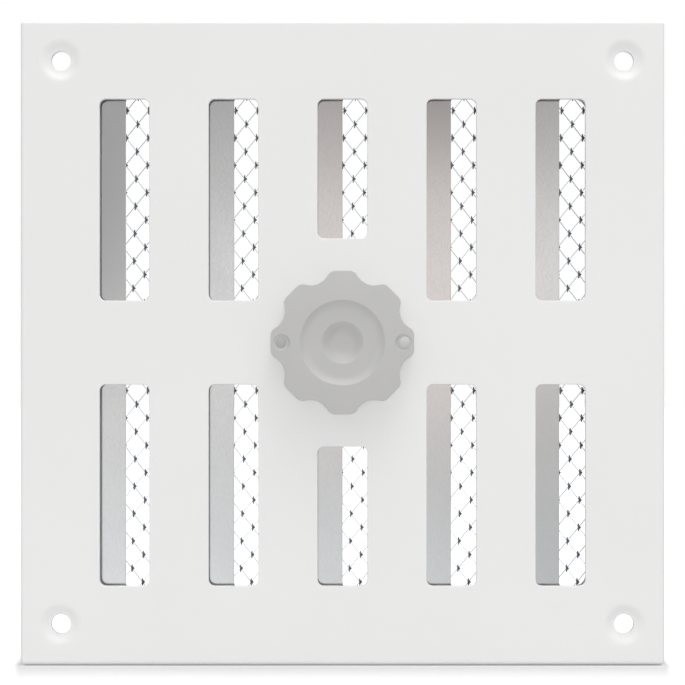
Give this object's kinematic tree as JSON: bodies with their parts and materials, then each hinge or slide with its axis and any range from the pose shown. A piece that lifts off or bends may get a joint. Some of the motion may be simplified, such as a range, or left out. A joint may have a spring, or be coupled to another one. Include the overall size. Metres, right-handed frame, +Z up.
{
  "type": "slotted air grille",
  "caption": "Square painted metal air grille with rows of upright slots, a sliding shutter worked by a lobed turning knob, and an insect net behind.",
  "frame": {"origin": "centre of the grille on the wall plane, where the back edge of the folded rim meets the wall", "axes": "+X to the viewer's right, +Y from the room into the wall, +Z up; the slotted face looks along -Y"},
  "size_m": [0.165, 0.0197, 0.165],
  "materials": {
    "white_paint": "smooth semi-gloss white powder coat",
    "galvanised": "rolled galvanised sheet, satin",
    "zinc_plate": "bright zinc plate",
    "net_metal": "bright expanded metal",
    "grey_plastic": "fine moulded satin grey",
    "pin_plastic": "moulded satin grey",
    "bush_plastic": "natural nylon",
    "fibre": "red vulcanised fibre",
    "spring_steel": "oiled spring steel"
  },
  "bodies": {
    "grille": {"front_plate": "white_paint", "guide_rail_upper": "galvanised", "guide_rail_lower": "galvanised", "mesh_frame": "galvanised", "insect_mesh": "net_metal", "weld_stud_upper_left": "zinc_plate", "weld_stud_upper_right": "zinc_plate", "weld_stud_lower_left": "zinc_plate", "weld_stud_lower_right": "zinc_plate", "spacer_sleeve_upper_left": "zinc_plate", "spacer_sleeve_upper_right": "zinc_plate", "spacer_sleeve_lower_left": "zinc_plate", "spacer_sleeve_lower_right": "zinc_plate", "stud_nut_upper_left": "zinc_plate", "stud_nut_upper_right": "zinc_plate", "stud_nut_lower_left": "zinc_plate", "stud_nut_lower_right": "zinc_plate", "pivot_bush": "bush_plastic"},
    "shutter": {"shutter_plate": "galvanised"},
    "knob": {"control_knob": "grey_plastic", "knob_pin_left": "pin_plastic", "knob_pin_right": "pin_plastic", "drive_plate": "zinc_plate", "drive_pin": "zinc_plate", "pin_roller": "bush_plastic", "pivot_spindle": "zinc_plate", "friction_washer": "fibre", "wave_washer": "spring_steel", "retaining_clip": "spring_steel"}
  },
  "joints": [
    {"name": "knob_turn", "type": "hinge", "parent": "grille", "child": "knob", "pos_m": [0, 0, 0], "axis": [0, 1, 0], "range_deg": [-40, 40]},
    {"name": "shutter_slide", "type": "slide", "parent": "grille", "child": "shutter", "axis": [1, 0, 0], "range_m": [-0.007, 0.007]}
  ],
  "couplings": [
    {"joint": "knob_turn", "follows": "shutter_slide", "rad_per_m": 99.733}
  ]
}
